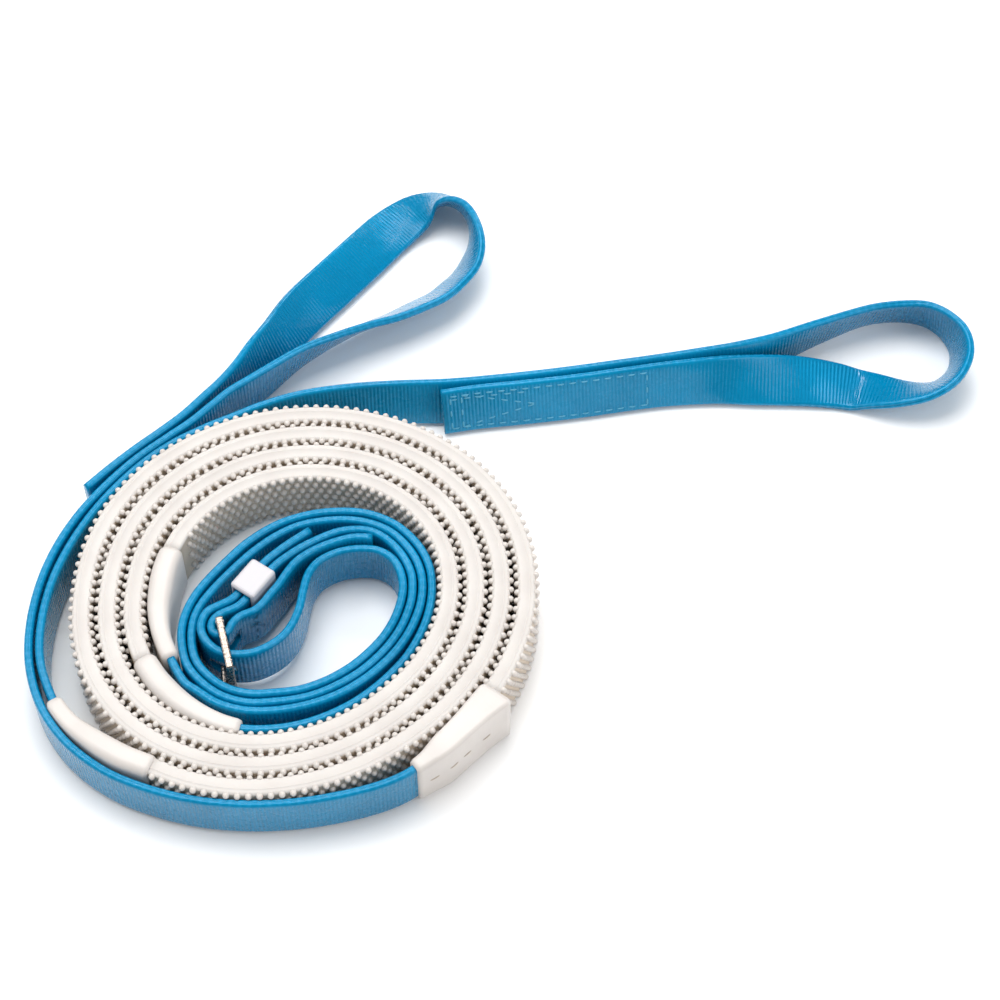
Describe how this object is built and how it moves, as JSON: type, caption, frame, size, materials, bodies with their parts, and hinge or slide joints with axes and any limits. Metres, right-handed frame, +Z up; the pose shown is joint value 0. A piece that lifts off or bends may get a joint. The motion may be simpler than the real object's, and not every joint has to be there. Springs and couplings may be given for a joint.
{
  "type": "pair of driving reins",
  "caption": "Coiled pair of coated-webbing straps with pimpled rubber grips and end caps, sewn hand loops, a buckle with its tongue, and a plastic keeper.",
  "frame": {"origin": "centre of the bounding box at the floor, with the coil lying flat on edge", "axes": "+X to the right towards the longer hand loop, +Y away from the front, +Z up across the strap width"},
  "size_m": [0.2842, 0.2339, 0.0207],
  "materials": {
    "blue_webbing": "glossy coated webbing with fine cross ribs",
    "cream_rubber": "satin, pimpled on the grips",
    "buckle_metal": "cast, slightly hammered, bright",
    "white_plastic": "smooth moulded",
    "teal_thread": "matt thread"
  },
  "bodies": {
    "reins": {"strap_a_hand_loop": "blue_webbing", "strap_a_lead": "blue_webbing", "strap_a_grip_core": "blue_webbing", "strap_a_inner_turns": "blue_webbing", "strap_a_buckle_end": "blue_webbing", "strap_b_hand_loop": "blue_webbing", "strap_b_lead": "blue_webbing", "strap_b_grip_core": "blue_webbing", "strap_b_inner_turns": "blue_webbing", "strap_b_billet": "blue_webbing", "grip_a": "cream_rubber", "grip_b": "cream_rubber", "cap_a_outer": "cream_rubber", "cap_a_inner": "cream_rubber", "cap_b_outer": "cream_rubber", "cap_b_inner": "cream_rubber", "loop_a_stitching": "teal_thread", "loop_b_stitching": "teal_thread"},
    "frame": {"buckle_frame": "buckle_metal"},
    "tongue": {"buckle_tongue": "buckle_metal"},
    "keeper": {"keeper": "white_plastic"}
  },
  "joints": [
    {"name": "frame_hinge", "type": "hinge", "parent": "reins", "child": "frame", "pos_m": [-0.0859, -0.05956, 0.0105], "axis": [0, 0, 1], "range_deg": [-2, 8]},
    {"name": "tongue_hinge", "type": "hinge", "parent": "frame", "child": "tongue", "pos_m": [-0.0859, -0.05956, 0.0105], "axis": [0, 0, 1], "range_deg": [-4, 0]},
    {"name": "keeper_slide", "type": "slide", "parent": "reins", "child": "keeper", "axis": [0.565, 0.8251, 0], "range_m": [-0.002, 0.002]}
  ]
}
